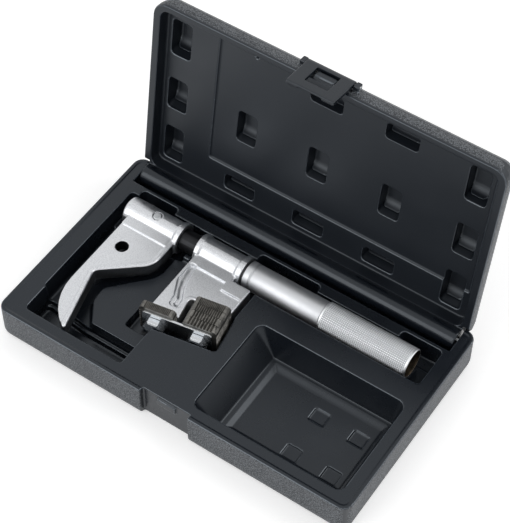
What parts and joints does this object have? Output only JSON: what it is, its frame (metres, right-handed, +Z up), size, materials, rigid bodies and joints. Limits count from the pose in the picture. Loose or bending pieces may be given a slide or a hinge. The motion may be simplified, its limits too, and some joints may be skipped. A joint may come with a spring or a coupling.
{
  "type": "external thread restorer in a carrying case",
  "caption": "Screw-operated hook clamp with toothed thread chaser plates and a turning handle, lying in a moulded hinged carrying case with an accessory tray and a latch.",
  "frame": {"origin": "centre of the case's underside, which the case stands on", "axes": "+X along the case's length and the tool's axis towards the handle's open end, +Y from the latch towards the hinge, +Z up"},
  "size_m": [0.36, 0.2577, 0.229],
  "materials": {
    "moulded_case": "satin dark grey blow-moulded plastic",
    "moulded_lid": "satin dark grey moulded plastic, fine grain outside",
    "hinge_steel": "drawn",
    "chromed_casting": "satin chrome over a casting",
    "chromed_turning": "satin chrome over a turned part",
    "blackened_bar": "blackened and oiled",
    "chaser_steel": "hardened tool steel",
    "nut_bronze": "turned bronze",
    "plated_fastener": "bright zinc plated",
    "dark_steel": "oiled steel"
  },
  "bodies": {
    "case": {"case_base": "moulded_case", "hinge_pin_left": "hinge_steel", "hinge_pin_right": "hinge_steel", "head_casting": "chromed_casting", "guide_screw": "dark_steel", "chaser_working": "chaser_steel", "chaser_spare_1": "chaser_steel", "chaser_spare_2": "chaser_steel", "chaser_spare_3": "chaser_steel", "chaser_spare_4": "chaser_steel", "clamp_plate": "plated_fastener", "chaser_bolt_left": "plated_fastener", "chaser_bolt_right": "plated_fastener", "thrust_washer": "dark_steel", "retaining_ring": "dark_steel"},
    "lid": {"case_lid": "moulded_lid", "latch_pin": "hinge_steel"},
    "latch": {"latch_flap": "moulded_lid"},
    "handle": {"collar": "chromed_turning", "handle_tube": "chromed_turning", "handle_nut": "nut_bronze", "knurled_grip": "chromed_turning"},
    "jaw": {"hook_jaw": "chromed_casting", "guide_bar": "blackened_bar", "jaw_cross_pin": "chromed_turning"}
  },
  "joints": [
    {"name": "lid_hinge", "type": "hinge", "parent": "case", "child": "lid", "pos_m": [0, 0.0944, 0.0305], "axis": [1, 0, 0], "range_deg": [0, 98.68]},
    {"name": "latch_hinge", "type": "hinge", "parent": "lid", "child": "latch", "pos_m": [-0.0017, 0.14123, 0.22061], "axis": [1, 0, 0], "range_deg": [-100, 0]},
    {"name": "handle_spin", "type": "hinge", "parent": "case", "child": "handle", "pos_m": [0, 0.0508, 0.0314], "axis": [1, 0, 0], "range_deg": [-1441, 1081]},
    {"name": "jaw_slide", "type": "slide", "parent": "case", "child": "jaw", "axis": [1, 0, 0], "range_m": [-0.006, 0.008]}
  ],
  "couplings": [
    {"joint": "handle_spin", "follows": "jaw_slide", "rad_per_m": -3141.6}
  ]
}
